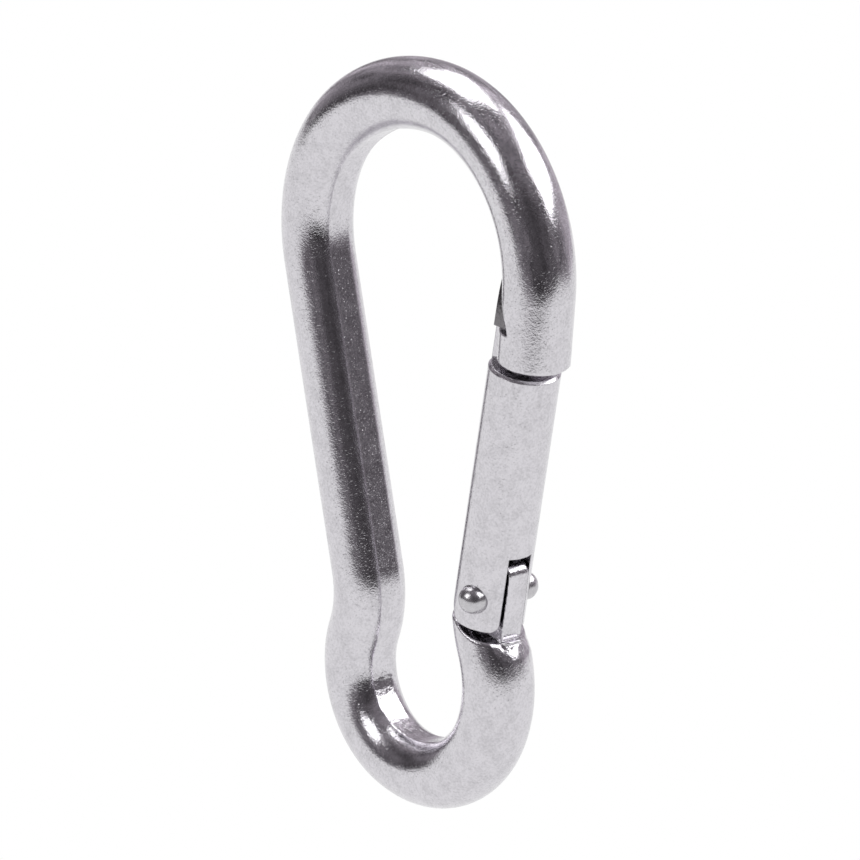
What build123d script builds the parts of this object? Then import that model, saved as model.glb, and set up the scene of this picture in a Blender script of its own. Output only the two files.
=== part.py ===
from build123d import *
import os
from math import asin, cos, degrees, hypot, radians, sin

# A spring-gate carbine hook in cast stainless steel, in millimetres.
# The hook lies in the XZ plane: +Z runs from the small eye to the big bow, and the gate is on the +X side.
# Y is the hinge direction. The origin is the centre of the whole hook's box.

# ---- driving dimensions -------------------------------------------------------------------------
rod_radius = 5.6            # the hook is bent from 11.2 mm round bar
facet_offset = 5.25         # the bar's inner side is flat, this far from its centreline

# Centreline, followed from the nose anticlockwise over the bow to the tang: (radius, degrees turned).
nose_end = (25.10, 17.53)
nose_lean = 5.7             # degrees that the nose leans away from +Z, towards +X
nose_straight = 11.08
bow_arcs = [(23.7, 92.6), (31.0, 40.5), (24.75, 65.9)]
back_straight = 49.3
waist_arc = (16.7, -35.6)
eye_arcs = [(13.9, 94.8), (18.1, 127.6)]
shoulder_arc = (24.25, -31.5)

# Gate. Its own frame starts on its centreline level with the rivet: u points out, v points to the nose.
gate_lean = 11.4            # degrees that the closed gate leans towards +X
gate_foot_point = (15.6, -20.62)
gate_radius = 5.6
gate_foot = -4.9
gate_top = 38.15
gate_rim_chamfer = 0.4
gate_opening = 35           # degrees

# Tongue and T-head on top of the gate, and the room for them in the nose.
neck_half_width = 2.3
neck_bottom = 37.0
neck_out = -0.8
head_floor_out = (-0.45, 44.8)
head_floor_in = (-7.0, 43.75)
head_back = (-0.45, 45.5)
head_tip = (-4.9, 51.7)
head_top_in = (-7.0, 51.7)
head_end_curve = [(4.05, 43.0), (3.8, 47.5), (2.5, 52.5)]   # seen from the front, the T-head's ends bulge
nose_slot_half_width = 2.75
nose_slot_out = 0.1
nose_slot_bottom = 36
notch_floor_out = (0.85, 44.7)
notch_floor_in = (-12, 42.6)
notch_back = (0.85, 45.0)
notch_tip = (-5.6, 54.3)
nose_rim_radius = 0.9
cut_reach = 14              # the cuts run this far from their origin, past everything they remove

# Hinge: a rivet through the gate's two ears and the flat tang between them.
pivot_out = 1.5             # the rivet sits outside the gate's centreline, so the spring closes the gate
rivet_radius = 1.75
rivet_fit = 0.06
rivet_head_radius = 2.25
rivet_head_seat = 3.9       # distance from the mid plane to the underside of a head
rivet_head_rim = 5.55
rivet_head_tip = 7.35
tang_half_width = 1.85
tang_top = [(3.9, 6.2), (1.1, 6.3), (-0.6, 5.6)]    # from the outer corner in to the cam
tang_top_radius = 1.9
tang_edge = [(4.28, 0.0), (4.25, -5.6)]
tang_root = [(3.0, -8.5), (-2.5, -8.5), (-5.4, -5.3)]
fork_half_width = 2.25
fork_top = 7.85
fork_back_top = 2.4         # on its inner side the fork's slot ends here, and a wall stays above it
fork_back = -4.35
ear_round = 5.4             # the ears' inner lower corner is round about the rivet
ear_flare = 1.5             # radius at the foot of the slot between the ears
seat_curve = [(-3.0, -5.2), (1.3, -6.3), (5.5, -5.95)]
seat_clear_top = 22         # the bar is cleared away above the seat up to here

# Closing spring and its plunger, in a blind bore up the gate.
bore_radius = 2.15
bore_top = 31.0
plunger_radius = 2.08
plunger_top = 13.0
spigot_radius = 1.2
spigot_length = 3.0
plunger_lift = 2.6          # mm of travel for each radian that the gate opens
tip_height = 5.75           # lowest point of the plunger above the rivet's centre
cam_gap = 0.03
cam_points = 7
spring_wire_radius = 0.35
spring_coil_radius = 1.65
spring_turns = 13
spring_end_gap = 0.05

os.makedirs("parts", exist_ok=True)

# ---- frames -------------------------------------------------------------------------------------
out_dir = Vector(cos(radians(gate_lean)), 0, -sin(radians(gate_lean)))
up_dir = Vector(sin(radians(gate_lean)), 0, cos(radians(gate_lean)))
gate_origin = Vector(gate_foot_point[0], 0, gate_foot_point[1])
pivot = gate_origin + out_dir * pivot_out
gate_plane = Plane(origin=gate_origin, x_dir=out_dir, z_dir=up_dir)
side_plane = Plane(origin=gate_origin, x_dir=out_dir, z_dir=(0, -1, 0))
pivot_plane = Plane(origin=pivot, x_dir=out_dir, z_dir=(0, -1, 0))
pivot_axis = Axis(pivot, (0, 1, 0))


def cam_point(turn):
    """Point of the tang's cam, from the rivet's centre, that carries the plunger at this turn."""
    reach = tip_height + plunger_radius + plunger_lift * turn
    normal_x = pivot_out - plunger_lift
    normal_length = hypot(normal_x, reach)
    offset = (plunger_radius + cam_gap) / normal_length
    x = -pivot_out + normal_x * offset
    y = reach - reach * offset
    return (x * cos(turn) - y * sin(turn), x * sin(turn) + y * cos(turn))


# ---- hook body ----------------------------------------------------------------------------------
with BuildPart() as hook_body:
    with BuildLine(Plane.XZ) as centreline:
        nose_line = PolarLine(nose_end, nose_straight, 90 - nose_lean)
        last = nose_line
        for radius, turned in bow_arcs:
            last = JernArc(last @ 1, last % 1, radius, turned)
        last = Line(last @ 1, (last @ 1) + (last % 1) * back_straight)
        for radius, turned in [waist_arc, *eye_arcs, shoulder_arc]:
            last = JernArc(last @ 1, last % 1, radius, turned)
    with BuildSketch(Plane(origin=nose_line @ 0, x_dir=(0, 1, 0), z_dir=nose_line % 0)):
        Circle(rod_radius)
        with Locations((0, facet_offset)):
            Rectangle(2 * rod_radius, 2 * rod_radius, align=(Align.CENTER, Align.MIN), mode=Mode.SUBTRACT)
    sweep(path=centreline.line)

    nose_face = hook_body.faces().filter_by(GeomType.PLANE).sort_by_distance(nose_line @ 0)[0]
    fillet(nose_face.edges(), radius=nose_rim_radius)

    # The seat under the gate's ears: everything above a shallow hollow goes.
    with BuildSketch(pivot_plane):
        with BuildLine():
            seat = ThreePointArc(*seat_curve)
            Polyline(
                seat @ 1,
                (cut_reach, (seat @ 1).Y),
                (cut_reach, seat_clear_top),
                (-cut_reach, seat_clear_top),
                (-cut_reach, (seat @ 0).Y),
                seat @ 0,
            )
        make_face()
    extrude(amount=cut_reach, both=True, mode=Mode.SUBTRACT)

    # Tang: a flat plate with a bulged outer edge, and the cam on top.
    cam = [cam_point(radians(gate_opening) * i / (cam_points - 1)) for i in range(cam_points)]
    with BuildSketch(pivot_plane):
        with BuildLine():
            Spline(*cam)
            Polyline(*tang_top, cam[0])
            ThreePointArc(tang_top[0], *tang_edge)
            Polyline(tang_edge[-1], *tang_root, cam[-1])
        make_face()
        fillet(vertices().sort_by_distance((*tang_top[0], 0))[0], radius=tang_top_radius)
    extrude(amount=tang_half_width, both=True)
    with BuildSketch(pivot_plane):
        Circle(rivet_radius + rivet_fit)
    extrude(amount=cut_reach, both=True, mode=Mode.SUBTRACT)

    # Nose: a slot for the gate's tongue, and a notch right across for its T-head.
    with BuildSketch(side_plane):
        with BuildLine():
            Polyline(
                (notch_floor_in[0], nose_slot_bottom),
                (nose_slot_out, nose_slot_bottom),
                (nose_slot_out, notch_back[1]),
                (notch_floor_in[0], notch_back[1]),
                close=True,
            )
        make_face()
    extrude(amount=nose_slot_half_width, both=True, mode=Mode.SUBTRACT)
    with BuildSketch(side_plane):
        with BuildLine():
            Polyline(
                notch_floor_in,
                notch_floor_out,
                notch_back,
                notch_tip,
                (notch_floor_in[0], notch_tip[1]),
                close=True,
            )
        make_face()
    extrude(amount=cut_reach, both=True, mode=Mode.SUBTRACT)
hook_body.part.label = "hook_body"
export_step(hook_body.part, "parts/hook_body.step")

# ---- hinge rivet --------------------------------------------------------------------------------
dome_rise = rivet_head_tip - rivet_head_rim
dome_radius = (rivet_head_radius**2 + dome_rise**2) / (2 * dome_rise)
dome_angle = degrees(asin(rivet_head_radius / dome_radius))
with BuildPart() as hinge_rivet:
    with BuildSketch(Plane(origin=pivot, x_dir=out_dir, z_dir=up_dir)):
        with BuildLine():
            dome = CenterArc((0, rivet_head_tip - dome_radius), dome_radius, 90 - dome_angle, dome_angle)
            Polyline(
                dome @ 0,
                (rivet_head_radius, rivet_head_seat),
                (rivet_radius, rivet_head_seat),
                (rivet_radius, 0),
                (0, 0),
                (0, rivet_head_tip),
            )
        make_face()
    revolve(axis=pivot_axis)
    mirror(about=Plane.XZ)
hinge_rivet.part.label = "hinge_rivet"
export_step(hinge_rivet.part, "parts/hinge_rivet.step")

# ---- gate ---------------------------------------------------------------------------------------
with BuildPart() as gate_head:
    with BuildSketch(gate_plane.offset(neck_bottom)):
        Circle(gate_radius)
    extrude(amount=head_tip[1] - neck_bottom)
    with BuildSketch(side_plane):
        with BuildLine():
            Polyline(head_floor_in, head_floor_out, head_back, head_tip, head_top_in, close=True)
        make_face()
    extrude(amount=gate_radius, both=True, mode=Mode.INTERSECT)
    with BuildSketch(Plane(origin=gate_origin, x_dir=(0, 1, 0), z_dir=out_dir)):
        with BuildLine():
            head_end = ThreePointArc(*head_end_curve)
            Polyline(head_end @ 1, (0, (head_end @ 1).Y), (0, (head_end @ 0).Y), head_end @ 0)
        make_face()
        mirror(about=Plane.YZ)
    extrude(amount=cut_reach, both=True, mode=Mode.INTERSECT)
with BuildPart() as gate_neck:
    with BuildSketch(gate_plane.offset(neck_bottom)):
        Circle(gate_radius)
    extrude(amount=head_back[1] - neck_bottom)
    with BuildSketch(side_plane):
        with BuildLine():
            Polyline(
                (head_floor_in[0], neck_bottom),
                (neck_out, neck_bottom),
                (neck_out, head_back[1]),
                (head_floor_in[0], head_back[1]),
                close=True,
            )
        make_face()
    extrude(amount=neck_half_width, both=True, mode=Mode.INTERSECT)
with BuildPart() as gate:
    with BuildSketch(gate_plane.offset(gate_foot)):
        Circle(gate_radius)
    extrude(amount=gate_top - gate_foot)
    top_rim = gate.faces().sort_by(Axis(gate_origin, up_dir))[-1].edges()
    chamfer(top_rim, length=gate_rim_chamfer)

    add(gate_neck.part)
    add(gate_head.part)

    # Fork for the tang, open outwards, with a wall left on the inner side above the ears.
    with BuildSketch(side_plane):
        with BuildLine():
            Polyline(
                (-cut_reach, -cut_reach),
                (cut_reach, -cut_reach),
                (cut_reach, fork_top),
                (fork_back, fork_top),
                (fork_back, fork_back_top),
                (-cut_reach, fork_back_top),
                close=True,
            )
        make_face()
    extrude(amount=fork_half_width, both=True, mode=Mode.SUBTRACT)
    with BuildSketch(gate_plane.offset(tip_height)):
        Circle(bore_radius)
    extrude(amount=bore_top - tip_height, mode=Mode.SUBTRACT)

    # Round the inner lower corner of the ears about the rivet, and flare the foot of the slot.
    with BuildSketch(pivot_plane):
        with BuildLine():
            Polyline(
                (0, 0),
                (-ear_round, 0),
                (-pivot_out - gate_radius, fork_back_top),
                (-cut_reach, fork_back_top),
                (-cut_reach, -cut_reach),
                (0, -cut_reach),
                close=True,
            )
        make_face()
        Circle(ear_round, mode=Mode.SUBTRACT)
    extrude(amount=cut_reach, both=True, mode=Mode.SUBTRACT)
    flare_out = fork_half_width + ear_flare
    with BuildSketch(Plane(origin=gate_origin + up_dir * gate_foot, x_dir=(0, 1, 0), z_dir=out_dir)):
        Rectangle(2 * flare_out, 2 * ear_flare)
        with Locations((-flare_out, ear_flare), (flare_out, ear_flare)):
            Circle(ear_flare, mode=Mode.SUBTRACT)
    extrude(amount=cut_reach, both=True, mode=Mode.SUBTRACT)
    add(hinge_rivet.part, mode=Mode.SUBTRACT)
gate.part.label = "gate"
export_step(gate.part, "parts/gate.step")

# ---- spring plunger -----------------------------------------------------------------------------
with BuildPart() as spring_plunger:
    with BuildSketch(side_plane):
        with BuildLine():
            CenterArc((0, tip_height + plunger_radius), plunger_radius, 270, 90)
            Polyline(
                (plunger_radius, tip_height + plunger_radius),
                (plunger_radius, plunger_top),
                (spigot_radius, plunger_top),
                (spigot_radius, plunger_top + spigot_length),
                (0, plunger_top + spigot_length),
                (0, tip_height),
            )
        make_face()
    revolve(axis=Axis(gate_origin, up_dir))
spring_plunger.part.label = "spring_plunger"
export_step(spring_plunger.part, "parts/spring_plunger.step")

# ---- gate spring --------------------------------------------------------------------------------
spring_bottom = plunger_top + spring_wire_radius + spring_end_gap
spring_height = bore_top - spring_wire_radius - spring_end_gap - spring_bottom
with BuildPart() as gate_spring:
    with BuildLine() as coil:
        Helix(
            pitch=spring_height / spring_turns,
            height=spring_height,
            radius=spring_coil_radius,
            center=gate_origin + up_dir * spring_bottom,
            direction=up_dir,
        )
    with BuildSketch(Plane(origin=coil.line @ 0, z_dir=coil.line % 0)):
        Circle(spring_wire_radius)
    sweep(path=coil.line, is_frenet=True)
gate_spring.part.label = "gate_spring"
export_step(gate_spring.part, "parts/gate_spring.step")
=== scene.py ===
import math

import bmesh
import bpy
import numpy as np
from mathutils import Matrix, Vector, noise


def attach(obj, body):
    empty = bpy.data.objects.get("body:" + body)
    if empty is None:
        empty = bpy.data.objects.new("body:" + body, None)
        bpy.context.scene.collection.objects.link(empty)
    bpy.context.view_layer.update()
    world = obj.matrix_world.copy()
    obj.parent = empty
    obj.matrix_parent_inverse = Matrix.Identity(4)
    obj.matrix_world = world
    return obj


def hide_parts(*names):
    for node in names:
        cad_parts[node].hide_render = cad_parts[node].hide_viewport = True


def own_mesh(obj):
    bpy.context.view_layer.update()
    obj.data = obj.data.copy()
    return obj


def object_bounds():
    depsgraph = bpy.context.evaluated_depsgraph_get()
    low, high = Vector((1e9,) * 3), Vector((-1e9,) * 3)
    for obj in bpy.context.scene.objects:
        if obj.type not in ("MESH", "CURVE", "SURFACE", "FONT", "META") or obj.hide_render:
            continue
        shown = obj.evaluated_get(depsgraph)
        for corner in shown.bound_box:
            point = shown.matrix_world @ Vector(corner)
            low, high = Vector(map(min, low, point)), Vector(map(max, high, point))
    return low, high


# A carbine hook in cast and tumbled stainless steel, on white in a photographer's studio.
# The hook's own dimensions are in millimetres; cameras, lights and what Blender gets are in metres.
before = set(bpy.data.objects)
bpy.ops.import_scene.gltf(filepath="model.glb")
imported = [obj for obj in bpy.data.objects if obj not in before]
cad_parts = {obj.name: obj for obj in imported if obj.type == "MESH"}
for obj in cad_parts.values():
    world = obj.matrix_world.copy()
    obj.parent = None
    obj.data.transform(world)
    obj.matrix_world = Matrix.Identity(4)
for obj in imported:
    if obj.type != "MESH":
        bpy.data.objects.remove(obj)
cad_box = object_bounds()
MM = 0.001

# ---- camera ---------------------------------------------------------------------------------------
VIEW_AZIMUTH = 49.9
VIEW_ELEVATION = 17.7
VIEW_DISTANCE = 1.271
VIEW_TARGET = (0.0008, 0.0, 0.0012)
LENS_MM = 346.0
SENSOR_MM = 36.0
CLIP_NEAR = 0.05
CLIP_FAR = 20.0

# ---- studio: all azimuths are counted from the camera's -------------------------------------------
TABLE_DROP = 0.0005  # the table lies this far below the hook
FLOOR_DROP = 0.002  # the floor that the camera sees, below the table
FLOOR_REACH = 6.0
TABLE_NEAR = 0.22
TABLE_FAR = -1.5
TABLE_LEFT = -0.75
TABLE_RIGHT = 0.40
TABLE_WHITE = 0.95
LIGHT_DISTANCE = 1.0
# (name, azimuth, elevation, width, height, radiance)
SOFTBOXES = (
    ("softbox_left", -57, 33, 0.50, 0.42, 2.6),
    ("softbox_right", 93, 43, 1.1, 0.68, 3.0),
    ("softbox_back", -160, 66, 0.8, 0.6, 3.0),
)
ROOM_COLOUR = (0.86, 0.79, 0.86)
ROOM_GLOW = 0.07
# Paler parts of the dim room: (azimuth, elevation, cosine where it starts, cosine where it is full, radiance)
ROOM_LOBES = (
    (165, 5, 0.0, 0.95, 0.42),
    (95, 10, 0.2, 0.95, 0.12),
    (-60, 0, 0.5, 0.95, 0.12),
    (0, 90, 0.3, 0.95, 0.18),
)
CLUTTER_SCALE = 7.0
CLUTTER_NOISE = (0.35, 0.65)
CLUTTER_FACTOR = (0.25, 1.75)

# ---- steel ----------------------------------------------------------------------------------------
CLOUD_SIZE = 2.6
FLECK_SIZE = 0.42
# How much the grain, the flecks and the clouds each tell in the stain, and the range that shows.
GRAIN_SHARE = 0.45
FLECK_SHARE = 0.3
CLOUD_SHARE = 0.25
STAIN_RANGE = (0.4, 0.6)
ROUGHNESS_NOISE = (0.3, 0.7)
NICK_NOISE = (0.60, 0.80)
BEVEL_SAMPLES = 4
# Painted shade: the dark colour painted on the gate's top, where it sits in the nose's notch, with the height and
# fade where it begins.
NOTCH_SHADE_COLOUR = (0.20, 0.19, 0.20)
NOTCH_SHADE_FROM = 26.2  # up along the gate from the frame's origin: above this, where the gate's top sits in the nose's notch, its colour is painted dark as painted shade
NOTCH_SHADE_FADE = 1.2
# Grain layers: (turn about X, turn about Y, wavelengths along X, Y and Z, weight, nicks only).
# Tumbled after casting and bending: short fine scratches over a slight mottle, and a few nicks.
CAST_GRAIN = (
    (35, 40, (0.14, 0.14, 0.5), 0.3, False),
    (-40, -35, (0.14, 0.14, 0.55), 0.3, False),
    (20, 50, (1.1, 0.8, 1.6), 0.5, False),
    (40, 40, (0.28, 0.28, 0.6), 0.55, False),
    (-30, 70, (0.28, 0.28, 0.42), 0.5, True),
)
PIN_GRAIN = (
    (0, 0, (0.25, 0.25, 0.25), 0.5, False),
    (30, 20, (0.9, 0.9, 0.9), 0.8, False),
)
WIRE_GRAIN = ((11, 0, (0.1, 0.1, 0.5), 0.6, False),)

# ---- the hook's bar, as bent: its centreline is the CAD one ---------------------------------------
ROD_RADIUS = 5.6
FACET_OFFSET = 5.25
FACET_HALF_WIDTH = 1.95
NOSE_END = (25.10, 17.53)
NOSE_LEAN = 5.7
# (length of a straight, 0) or (radius, degrees turned to the left)
RUNS = (
    (11.08, 0), (23.7, 92.6), (31.0, 40.5), (24.75, 65.9), (49.3, 0),
    (16.7, -35.6), (13.9, 94.8), (18.1, 127.6), (24.25, -31.5),
)
STRAIGHT_OVERLAP = 0.5  # a straight takes in points this far past its ends
BEND_OVERLAP = 0.02  # and a bend those this many radians past its own
BEND_SLACK = 0.1  # radians before a bend's start that don't yet count as a whole turn on
REMESH_DEPTH = 9
REMESH_SCALE = 0.95
SURFACE_BAND = 0.1  # points this near the bar's ideal surface belong to it
# Stretches of the inner flat that keep hammer marks: (from, to, fade), run along the bar from the nose.
EYE_MARKS = (166.0, 188.0, 3.0)
LEG_MARKS = (97.0, 152.0, 6.0)
# How uneven the surface is there and elsewhere: layers of (depth, seed, size of its waves).
BAR_WAVES = ((0.008, 1, 7.0), (0.003, 2, 2.2))
LEG_WAVES = ((0.007, 5, 0.55), (0.006, 9, 1.3))
EYE_WAVES = ((0.02, 4, 0.7),)
# The eye's hammer marks run across the bar: its waves are squeezed along it and bent a little.
EYE_RIPPLES = ((0.045, 3, 0.8),)
RIPPLE_ALONG = 1.5
RIPPLE_ACROSS = 0.7
RIPPLE_BEND = ((0.5, 6, 1.5),)
# Casting pits: (run, place across the bar, radius, depth)
PITS = (
    (88.2, -0.6, 0.30, 0.12), (88.7, 0.0, 0.34, 0.15), (88.1, 0.65, 0.28, 0.11),
    (130.0, 0.7, 0.26, 0.06), (121.0, -0.4, 0.24, 0.06),
)

# ---- gate, rivet and spring -----------------------------------------------------------------------
GATE_LEAN = math.radians(11.4)
GATE_OUT = (math.cos(GATE_LEAN), 0, -math.sin(GATE_LEAN))
GATE_UP = (math.sin(GATE_LEAN), 0, math.cos(GATE_LEAN))
GATE_FOOT = (15.6, 0, -20.62)
RIVET = (17.0704, 0, -20.9165)
RIVET_SHANK = 1.75
RIVET_HEAD = 2.25
RIVET_SEAT = 3.9
RIVET_EDGE = 0.8  # height of the ring that keeps a head's lower edge crisp
RIVET_RIM = 5.55
RIVET_TIP = 7.35
RIVET_RINGS = 18
RIVET_AROUND = 72
SPRING_WIRE = 0.35
SPRING_COIL = 1.65
SPRING_TURNS = 13
SPRING_LOW = 13.4
SPRING_HIGH = 30.6
SPRING_STEPS = 20  # points on each turn
# The curve of the gate's seat on the bar: distances out from the rivet and up from it.
SEAT_OUT = (-9.0, -3.0, -1.1, 0.6, 1.3, 2.4, 4.0, 5.5)
SEAT_UP = (-5.2, -5.2, -5.86, -6.22, -6.3, -6.34, -6.24, -5.95)
SEAT_RUN = 205  # the seat is beyond this run
SEAT_TOP = -4
TANG_HALF_WIDTH = 1.9
TANG_FOOT = 0.25  # below the seat by more than this there is no tang, only the bar
# The seat's rim is rubbed down, and a patch outside the tang is ground away: (from, to, fade) for the patch.
OUTER_LAYER_FROM = 4.0
OUTER_LAYER_DEPTH = 1.4
RIM_REACH = 0.55
RIM_LIMIT = 1.2
RIM_DEPTH = 0.16
GROUND_ACROSS = (-2.6, 4.2, 1.6)
GROUND_OUT = (1.6, 9.0, 1.2)
GROUND_REACH = 2.7
GROUND_POWER = 1.2
GROUND_DEPTH = 0.62
GROUND_WAVES = ((0.16, 7, 1.0), (0.10, 8, 0.45))


# ---- camera and studio ----------------------------------------------------------------------------
def direction(azimuth, elevation):
    """Unit vector towards a place at this azimuth and elevation; the azimuth is counted from the camera's."""
    turn = math.radians(VIEW_AZIMUTH + azimuth)
    rise = math.radians(elevation)
    return Vector((math.sin(turn) * math.cos(rise), -math.cos(turn) * math.cos(rise), math.sin(rise)))


def make_camera():
    data = bpy.data.cameras.new("camera")
    data.lens = LENS_MM
    data.sensor_width = SENSOR_MM
    data.clip_start = CLIP_NEAR
    data.clip_end = CLIP_FAR
    camera = bpy.data.objects.new("camera", data)
    back = direction(0, VIEW_ELEVATION)
    camera.location = Vector(VIEW_TARGET) + back * VIEW_DISTANCE
    camera.rotation_mode = "QUATERNION"
    camera.rotation_quaternion = (-back).to_track_quat("-Z", "Y")
    bpy.context.collection.objects.link(camera)
    bpy.context.scene.camera = camera


def emission(name, strength):
    """A plain white surface that gives off light."""
    material = bpy.data.materials.new(name)
    material.use_nodes = True
    tree = material.node_tree
    tree.nodes.clear()
    out = tree.nodes.new("ShaderNodeOutputMaterial")
    glow = tree.nodes.new("ShaderNodeEmission")
    glow.inputs["Color"].default_value = (1, 1, 1, 1)
    glow.inputs["Strength"].default_value = strength
    tree.links.new(glow.outputs[0], out.inputs["Surface"])
    return material


def plane(name, corners, material):
    mesh = bpy.data.meshes.new(name)
    mesh.from_pydata(corners, [], [(0, 1, 2, 3)])
    obj = bpy.data.objects.new(name, mesh)
    obj.data.materials.append(material)
    bpy.context.collection.objects.link(obj)
    return obj


def make_floor():
    """The white floor that the camera sees, which lights nothing."""
    table_z = cad_box[0][2] - TABLE_DROP
    floor_z = table_z - FLOOR_DROP
    signs = ((-1, -1), (1, -1), (1, 1), (-1, 1))
    corners = [(x * FLOOR_REACH, y * FLOOR_REACH, floor_z) for x, y in signs]
    floor = plane("floor", corners, emission("floor_white", 1.0))
    floor.visible_glossy = False
    floor.visible_diffuse = False


def make_table():
    """The white table that the hook reflects: its front edge is near, its back edge far."""
    table_z = cad_box[0][2] - TABLE_DROP
    front = direction(0, 0)
    side = direction(90, 0)
    near_edge = ((TABLE_NEAR, TABLE_LEFT), (TABLE_NEAR, TABLE_RIGHT))
    far_edge = ((TABLE_FAR, TABLE_RIGHT), (TABLE_FAR, TABLE_LEFT))
    corners = []
    for forward, across in near_edge + far_edge:
        place = front * forward + side * across
        corners.append((place.x, place.y, table_z))
    table = plane("table", corners, emission("table_white", TABLE_WHITE))
    table.visible_camera = False


def make_softboxes():
    for name, azimuth, elevation, width, height, radiance in SOFTBOXES:
        light = bpy.data.lights.new(name, "AREA")
        light.shape = "RECTANGLE"
        light.size, light.size_y = width, height
        light.energy = radiance * width * height * math.pi
        obj = bpy.data.objects.new(name, light)
        way = direction(azimuth, elevation)
        obj.location = way * LIGHT_DISTANCE
        obj.rotation_mode = "QUATERNION"
        obj.rotation_quaternion = way.to_track_quat("Z", "Y")
        obj.visible_camera = False
        bpy.context.collection.objects.link(obj)


# ---- pieces of node trees -------------------------------------------------------------------------
def noise_value(tree, coords, scale, detail):
    texture = tree.nodes.new("ShaderNodeTexNoise")
    texture.inputs["Scale"].default_value = scale
    texture.inputs["Detail"].default_value = detail
    tree.links.new(coords, texture.inputs["Vector"])
    return texture.outputs["Fac"]


def map_range(tree, value, source, target, interpolation="LINEAR"):
    node = tree.nodes.new("ShaderNodeMapRange")
    node.interpolation_type = interpolation
    node.inputs["From Min"].default_value, node.inputs["From Max"].default_value = source
    node.inputs["To Min"].default_value, node.inputs["To Max"].default_value = target
    tree.links.new(value, node.inputs["Value"])
    return node.outputs[0]


def scaled(tree, value, factor, added=0.0):
    """value * factor + added, where added is a number or a socket."""
    node = tree.nodes.new("ShaderNodeMath")
    node.operation = "MULTIPLY_ADD"
    node.inputs[1].default_value = factor
    tree.links.new(value, node.inputs[0])
    if isinstance(added, float):
        node.inputs[2].default_value = added
    else:
        tree.links.new(added, node.inputs[2])
    return node.outputs[0]


def along(tree, coords, way):
    """How far coords reach in a direction."""
    node = tree.nodes.new("ShaderNodeVectorMath")
    node.operation = "DOT_PRODUCT"
    node.inputs[1].default_value = way
    tree.links.new(coords, node.inputs[0])
    return node.outputs["Value"]


def mixed(tree, factor, low, high):
    """A colour between low and high, which are colours or sockets."""
    node = tree.nodes.new("ShaderNodeMix")
    node.data_type = "RGBA"
    tree.links.new(factor, node.inputs[0])
    for socket, colour in ((node.inputs[6], low), (node.inputs[7], high)):
        if isinstance(colour, tuple):
            socket.default_value = (*colour, 1)
        else:
            tree.links.new(colour, socket)
    return node.outputs[2]


def make_world():
    """A dim room with some paler parts, which the hook reflects, and plain white behind it for the camera."""
    world = bpy.data.worlds.new("room")
    bpy.context.scene.world = world
    world.use_nodes = True
    tree = world.node_tree
    tree.nodes.clear()
    new, link = tree.nodes.new, tree.links.new
    coords = new("ShaderNodeTexCoord").outputs["Generated"]
    total = ROOM_GLOW
    for azimuth, elevation, start, full, radiance in ROOM_LOBES:
        cosine = along(tree, coords, direction(azimuth, elevation))
        lobe = map_range(tree, cosine, (start, full), (0, radiance), "SMOOTHSTEP")
        total = scaled(tree, lobe, 1.0, total)
    # Things standing about in the room: the dark parts of the hook's reflections are uneven.
    clutter = noise_value(tree, coords, CLUTTER_SCALE, 1.0)
    uneven = map_range(tree, clutter, CLUTTER_NOISE, CLUTTER_FACTOR)
    lit = new("ShaderNodeMath")
    lit.operation = "MULTIPLY"
    link(total, lit.inputs[0])
    link(uneven, lit.inputs[1])
    room = new("ShaderNodeBackground")
    room.inputs["Color"].default_value = (*ROOM_COLOUR, 1)
    link(lit.outputs[0], room.inputs["Strength"])
    seen = new("ShaderNodeBackground")
    seen.inputs["Color"].default_value = (1, 1, 1, 1)
    mix = new("ShaderNodeMixShader")
    link(new("ShaderNodeLightPath").outputs["Is Camera Ray"], mix.inputs[0])
    link(room.outputs[0], mix.inputs[1])
    link(seen.outputs[0], mix.inputs[2])
    link(mix.outputs[0], new("ShaderNodeOutputWorld").inputs["Surface"])
    bpy.context.scene.view_settings.view_transform = "Standard"


# ---- metal ----------------------------------------------------------------------------------------
def grain_height(tree, coords, layers):
    """Sum of stretched noises; in a layer of nicks only the noise's peaks count, as dents."""
    total = 0.0
    for turn_x, turn_y, waves, weight, nicks in layers:
        mapping = tree.nodes.new("ShaderNodeMapping")
        mapping.vector_type = "TEXTURE"
        mapping.inputs["Rotation"].default_value = (math.radians(turn_x), math.radians(turn_y), 0)
        mapping.inputs["Scale"].default_value = [MM * w for w in waves]
        tree.links.new(coords, mapping.inputs["Vector"])
        value = noise_value(tree, mapping.outputs[0], 1.0, 1.0)
        if nicks:
            value = map_range(tree, value, NICK_NOISE, (1, 0))
        total = scaled(tree, value, weight, total)
    return total


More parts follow.
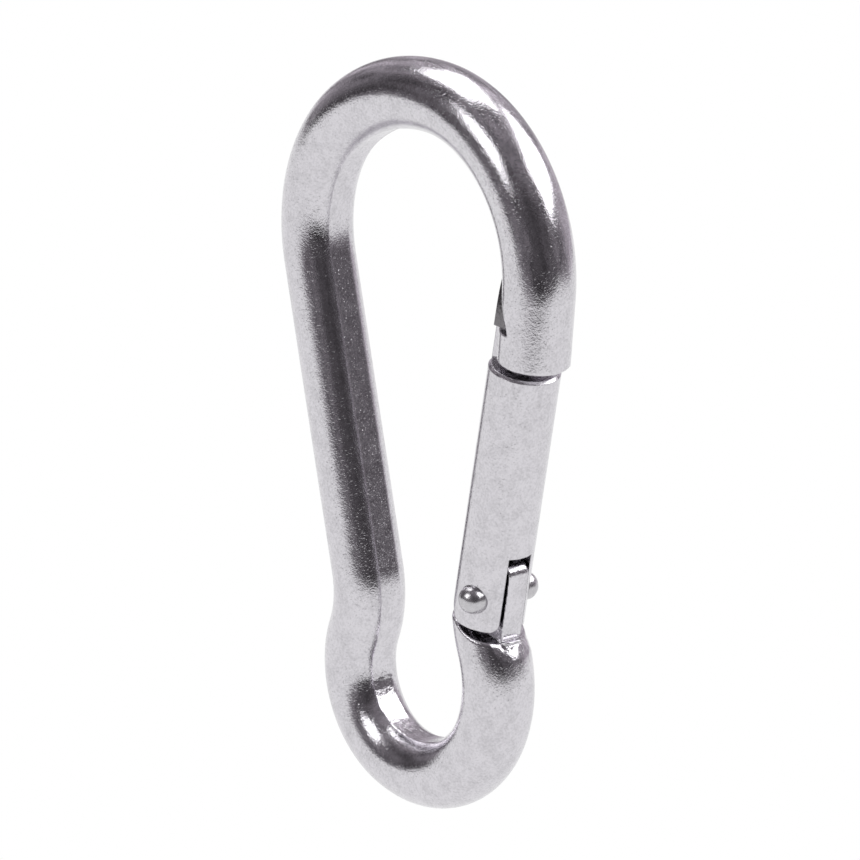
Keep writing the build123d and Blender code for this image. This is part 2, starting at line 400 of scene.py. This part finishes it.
def steel(name, colour, stain, roughness, roughness_spread, grain, grain_depth, edge, shade_from=None):
    """Bare stainless steel, in the part's own space: grain, cloudy roughness, a slight stain and rubbed edges;
    given a height along the gate, also painted shade above it.
    """
    material = bpy.data.materials.new(name)
    material.use_nodes = True
    tree = material.node_tree
    new, link = tree.nodes.new, tree.links.new
    shader = tree.nodes["Principled BSDF"]
    shader.inputs["Metallic"].default_value = 1.0
    coords = new("ShaderNodeTexCoord").outputs["Object"]

    height = grain_height(tree, coords, grain)
    cloud = noise_value(tree, coords, 1.0 / (CLOUD_SIZE * MM), 3.0)
    fleck = noise_value(tree, coords, 1.0 / (FLECK_SIZE * MM), 2.0)
    haze = scaled(tree, cloud, CLOUD_SHARE)
    speckle = scaled(tree, fleck, FLECK_SHARE, haze)
    blend = scaled(tree, height, GRAIN_SHARE / sum(layer[3] for layer in grain), speckle)
    tint = map_range(tree, blend, STAIN_RANGE, (0, 1))
    darker = tuple(c * (1 - stain) for c in colour)
    lighter = tuple(min(1.0, c * (1 + stain)) for c in colour)
    metal = mixed(tree, tint, darker, lighter)
    if shade_from is not None:
        # Above this height along the gate, where its top sits in the nose's notch, the colour is painted dark:
        # painted shade of the notch, not a colour of the steel.
        rise = along(tree, coords, [c / MM for c in GATE_UP])
        # The mask of the painted shade: 0 below the height, 1 above it.
        skin = map_range(tree, rise, (shade_from, shade_from + NOTCH_SHADE_FADE), (0, 1))
        metal = mixed(tree, skin, metal, NOTCH_SHADE_COLOUR)
    link(metal, shader.inputs["Base Color"])

    spread = (roughness - roughness_spread, roughness + roughness_spread)
    link(map_range(tree, cloud, ROUGHNESS_NOISE, spread), shader.inputs["Roughness"])

    bump = new("ShaderNodeBump")
    bump.inputs["Strength"].default_value = 1.0
    bump.inputs["Distance"].default_value = grain_depth * MM
    link(height, bump.inputs["Height"])
    link(bump.outputs[0], shader.inputs["Normal"])
    if edge > 0:
        rounded = new("ShaderNodeBevel")
        rounded.samples = BEVEL_SAMPLES
        rounded.inputs["Radius"].default_value = edge * MM
        link(rounded.outputs[0], bump.inputs["Normal"])
    return material


# ---- hook body ------------------------------------------------------------------------------------
def follow_bar(points):
    """For points in mm: distance run along the bar, and offset towards its inner side."""
    run = np.zeros(len(points))
    offset = np.full(len(points), 1e6)
    here = np.array(NOSE_END)
    heading = math.radians(90 - NOSE_LEAN)
    start = 0.0
    flat = points[:, [0, 2]]
    for size, turned in RUNS:
        forward = np.array((math.cos(heading), math.sin(heading)))
        left = np.array((-forward[1], forward[0]))
        if turned == 0:
            reach = (flat - here) @ forward
            side = (flat - here) @ left
            inside = (reach > -STRAIGHT_OVERLAP) & (reach < size + STRAIGHT_OVERLAP)
            length = size
            here = here + forward * size
        else:
            bend = math.copysign(1, turned)
            centre = here + left * size * bend
            arm = flat - centre
            sweep = math.radians(abs(turned))
            first = here - centre
            turn = np.arctan2(arm[:, 1], arm[:, 0]) - math.atan2(first[1], first[0])
            turn = (turn * bend + math.pi) % (2 * math.pi) - math.pi
            turn = np.where(turn < -BEND_SLACK, turn + 2 * math.pi, turn)
            reach = turn * size
            side = (size - np.linalg.norm(arm, axis=1)) * bend
            inside = (turn > -BEND_OVERLAP) & (turn < sweep + BEND_OVERLAP)
            length = sweep * size
            heading += sweep * bend
            c, s = math.cos(sweep * bend), math.sin(sweep * bend)
            here = centre + np.array((first[0] * c - first[1] * s, first[0] * s + first[1] * c))
        better = inside & (np.abs(side) < np.abs(offset))
        run[better] = start + reach[better]
        offset[better] = side[better]
        start += length
    return run, offset


def bar_directions(points, offset, radius):
    """Unit vectors at each point: towards the bar's inner side, and straight out of its round surface."""
    step = 0.05
    change_x = follow_bar(points + (step, 0, 0))[1] - offset
    change_z = follow_bar(points + (0, 0, step))[1] - offset
    inward = np.stack((change_x, np.zeros(len(points)), change_z), 1) / step
    inward /= np.maximum(np.linalg.norm(inward, axis=1), 1e-6)[:, None]
    outward = inward * (offset / radius)[:, None]
    outward[:, 1] = points[:, 1] / radius
    return inward, outward


def wave(point, seed, size):
    """Smooth noise between -1 and 1, with waves of this size."""
    return noise.noise(Vector(point) / size + Vector((seed, 2.3 * seed, 5.1)))


def waves(point, layers):
    return sum(depth * wave(point, seed, size) for depth, seed, size in layers)


def band(value, low, high, fade):
    """1 between low and high, fading to 0 over the distance fade outside."""
    rise = np.clip((value - low) / fade + 1, 0, 1)
    fall = np.clip((high - value) / fade + 1, 0, 1)
    both = rise * fall
    return both * both * (3 - 2 * both)


def dense_copy(node, name):
    """The CAD node as a fine, even mesh whose edges stay sharp."""
    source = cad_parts[node]
    base = bpy.data.objects.new(name + "_base", source.data.copy())
    bpy.context.collection.objects.link(base)
    remesh = base.modifiers.new("remesh", "REMESH")
    remesh.mode = "SHARP"
    remesh.octree_depth = REMESH_DEPTH
    remesh.scale = REMESH_SCALE
    remesh.sharpness = 1.0
    remesh.use_remove_disconnected = False
    graph = bpy.context.evaluated_depsgraph_get()
    mesh = bpy.data.meshes.new_from_object(base.evaluated_get(graph))
    old = base.data
    bpy.data.objects.remove(base)
    bpy.data.meshes.remove(old)
    piece = bpy.data.objects.new(name, mesh)
    bpy.context.collection.objects.link(piece)
    return piece


def seat_marks(points, run, offset, radius):
    """Round the gate's seat: how far its rim is rubbed down, and how far the patch outside the tang is ground."""
    from_rivet = points - np.array(RIVET)
    out = from_rivet @ np.array(GATE_OUT)
    up = from_rivet @ np.array(GATE_UP)
    below = np.interp(out, SEAT_OUT, SEAT_UP) - up
    skin = np.clip((radius - OUTER_LAYER_FROM) / OUTER_LAYER_DEPTH, 0, 1)
    off_tang = (np.abs(points[:, 1]) > TANG_HALF_WIDTH) | (below > TANG_FOOT)
    near = (run > SEAT_RUN) & (up < SEAT_TOP) & off_tang
    rim = np.where(near, np.clip(1 - below / RIM_REACH, 0, RIM_LIMIT) ** 2 * skin, 0)
    patch = band(points[:, 1], *GROUND_ACROSS) * band(out, *GROUND_OUT)
    fading = np.clip(1 - below / GROUND_REACH, 0, 1) ** GROUND_POWER
    ground = np.where(near & (offset < 0), patch * fading * skin, 0)
    return rim, ground


def roughen(point, run, eye, leg, ground, rim):
    """How far the surface stands out at a point of the bar, from how strongly each mark tells there."""
    value = waves(point, BAR_WAVES)
    if eye > 0:
        ripple = (run * RIPPLE_ALONG + waves(point, RIPPLE_BEND), point[1] * RIPPLE_ACROSS, 0)
        value += eye * (waves(ripple, EYE_RIPPLES) + waves(point, EYE_WAVES))
    if leg > 0:
        value += leg * waves(point, LEG_WAVES)
    if ground > 0:
        value -= ground * (GROUND_DEPTH + waves(point, GROUND_WAVES))
    return value - RIM_DEPTH * rim


def make_body():
    """The bent bar with the marks of its making, which the CAD body leaves smooth."""
    piece = dense_copy("hook_body", "hook_forging")
    mesh = piece.data
    count = len(mesh.vertices)
    co = np.empty(count * 3)
    mesh.vertices.foreach_get("co", co)
    points = co.reshape(-1, 3) / MM
    run, offset = follow_bar(points)
    radius = np.hypot(offset, points[:, 1])
    on_facet = (np.abs(offset - FACET_OFFSET) < SURFACE_BAND) & (np.abs(points[:, 1]) < FACET_HALF_WIDTH)
    on_round = (np.abs(radius - ROD_RADIUS) < SURFACE_BAND) & ~on_facet
    inward, outward = bar_directions(points, offset, radius)
    points[on_round] += outward[on_round] * (ROD_RADIUS - radius)[on_round][:, None]
    points[on_facet] += inward[on_facet] * (FACET_OFFSET - offset)[on_facet][:, None]

    rim, ground = seat_marks(points, run, offset, radius)
    eye = on_facet * band(run, *EYE_MARKS)
    leg = on_facet * band(run, *LEG_MARKS)
    moved = on_round | on_facet | (ground > 0) | (rim > 0)
    lift = np.zeros(count)
    for i in np.nonzero(moved)[0]:
        lift[i] = roughen(points[i], run[i], eye[i], leg[i], ground[i], rim[i])
    for place, across, size, depth in PITS:
        far = np.hypot(run - place, points[:, 1] - across)
        lift -= np.where(on_facet | on_round, depth * np.exp(-((far / size) ** 2)), 0)
    outer = moved & ~on_facet
    points[on_facet] += inward[on_facet] * lift[on_facet][:, None]
    points[outer] += outward[outer] * lift[outer][:, None]
    points[:, 1] = np.clip(points[:, 1], -ROD_RADIUS, ROD_RADIUS)
    mesh.vertices.foreach_set("co", (points * MM).ravel())
    mesh.update()
    mesh.shade_smooth()
    mesh.materials.clear()
    mesh.materials.append(cast)
    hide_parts("hook_body")
    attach(piece, "hook")


# ---- rivet ----------------------------------------------------------------------------------------
def rivet_profile():
    """Half the rivet's outline, as (radius, distance from the mid plane), from one dome to the other."""
    rise = RIVET_TIP - RIVET_RIM
    ball = (RIVET_HEAD**2 + rise**2) / (2 * rise)
    widest = math.asin(RIVET_HEAD / ball)
    half = []
    for i in range(1, RIVET_RINGS + 1):
        angle = widest * i / RIVET_RINGS
        half.append((ball * math.sin(angle), RIVET_TIP - ball + ball * math.cos(angle)))
    half += [(RIVET_HEAD, RIVET_SEAT + RIVET_EDGE), (RIVET_HEAD, RIVET_SEAT), (RIVET_SHANK, RIVET_SEAT)]
    return half + [(r, -y) for r, y in reversed(half)]


def make_rivet():
    """The rivet as one smooth turned body, with domed heads that are very slightly uneven."""
    mesh = bmesh.new()
    centre = Vector(RIVET) * MM
    rings = []
    for r, y in rivet_profile():
        ring = []
        for k in range(RIVET_AROUND):
            angle = 2 * math.pi * k / RIVET_AROUND
            p = Vector((r * math.cos(angle), y, r * math.sin(angle)))
            if abs(y) > RIVET_RIM:
                p *= 1 + 0.004 * wave(p, 12, 0.8)
            ring.append(mesh.verts.new(centre + p * MM))
        rings.append(ring)
    for low, high in zip(rings, rings[1:]):
        for k in range(RIVET_AROUND):
            after = (k + 1) % RIVET_AROUND
            mesh.faces.new((low[k], low[after], high[after], high[k]))
    for ring, y in ((rings[0], RIVET_TIP), (rings[-1], -RIVET_TIP)):
        tip = mesh.verts.new(centre + Vector((0, y, 0)) * MM)
        for k in range(RIVET_AROUND):
            mesh.faces.new((ring[k], ring[(k + 1) % RIVET_AROUND], tip))
    bmesh.ops.recalc_face_normals(mesh, faces=mesh.faces)
    data = bpy.data.meshes.new("rivet_turned")
    mesh.to_mesh(data)
    mesh.free()
    data.shade_smooth()
    data.materials.append(pin)
    piece = bpy.data.objects.new("rivet_turned", data)
    bpy.context.collection.objects.link(piece)
    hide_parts("hinge_rivet")
    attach(piece, "gate")


# ---- spring ---------------------------------------------------------------------------------------
def make_spring():
    """The closing spring in the gate's bore, which the plunger pushes on; its length here is fixed."""
    up = Vector(GATE_UP)
    out = Vector(GATE_OUT)
    across = Vector((0, 1, 0))
    origin = Vector(GATE_FOOT)
    curve = bpy.data.curves.new("spring_line", "CURVE")
    curve.dimensions = "3D"
    curve.bevel_depth = SPRING_WIRE * MM
    curve.bevel_resolution = 3
    curve.use_fill_caps = True
    steps = SPRING_STEPS * SPRING_TURNS
    spline = curve.splines.new("POLY")
    spline.points.add(steps)
    for i in range(steps + 1):
        turn = 2 * math.pi * SPRING_TURNS * i / steps
        rise = SPRING_LOW + (SPRING_HIGH - SPRING_LOW) * i / steps
        axis_point = origin + up * rise
        p = axis_point + out * (SPRING_COIL * math.cos(turn)) + across * (SPRING_COIL * math.sin(turn))
        spline.points[i].co = (*(p * MM), 1)
    holder = bpy.data.objects.new("spring_line", curve)
    bpy.context.collection.objects.link(holder)
    data = bpy.data.meshes.new_from_object(holder.evaluated_get(bpy.context.evaluated_depsgraph_get()))
    bpy.data.objects.remove(holder)
    bpy.data.curves.remove(curve)
    data.shade_smooth()
    data.materials.clear()
    data.materials.append(wire)
    piece = bpy.data.objects.new("spring_coil", data)
    bpy.context.collection.objects.link(piece)
    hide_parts("gate_spring")
    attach(piece, "gate")
    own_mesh(piece)


# ---- build ----------------------------------------------------------------------------------------
make_camera()
make_floor()
make_table()
make_softboxes()
make_world()

cast_look = {
    "colour": (0.60, 0.585, 0.615), "stain": 0.16, "roughness": 0.145, "roughness_spread": 0.03,
    "grain": CAST_GRAIN, "grain_depth": 0.034, "edge": 0.25,
}
cast = steel("cast_stainless", **cast_look)
# The gate's steel, with painted shade on its top where it sits in the nose's notch.
gate_steel_notch_shade = steel("gate_stainless_notch_shade", **cast_look, shade_from=NOTCH_SHADE_FROM)
pin = steel(
    "pin_stainless", colour=(0.56, 0.55, 0.57), stain=0.08, roughness=0.25, roughness_spread=0.04,
    grain=PIN_GRAIN, grain_depth=0.03, edge=0.15,
)
wire = steel(
    "spring_stainless", colour=(0.52, 0.52, 0.53), stain=0.05, roughness=0.24, roughness_spread=0.04,
    grain=WIRE_GRAIN, grain_depth=0.01, edge=0,
)
finishes = {
    "hook_body": cast,
    "gate": gate_steel_notch_shade,
    "hinge_rivet": pin,
    "spring_plunger": pin,
    "gate_spring": wire,
}
for name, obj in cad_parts.items():
    obj.data.materials.clear()
    obj.data.materials.append(finishes[name])
make_body()
make_rivet()
make_spring()
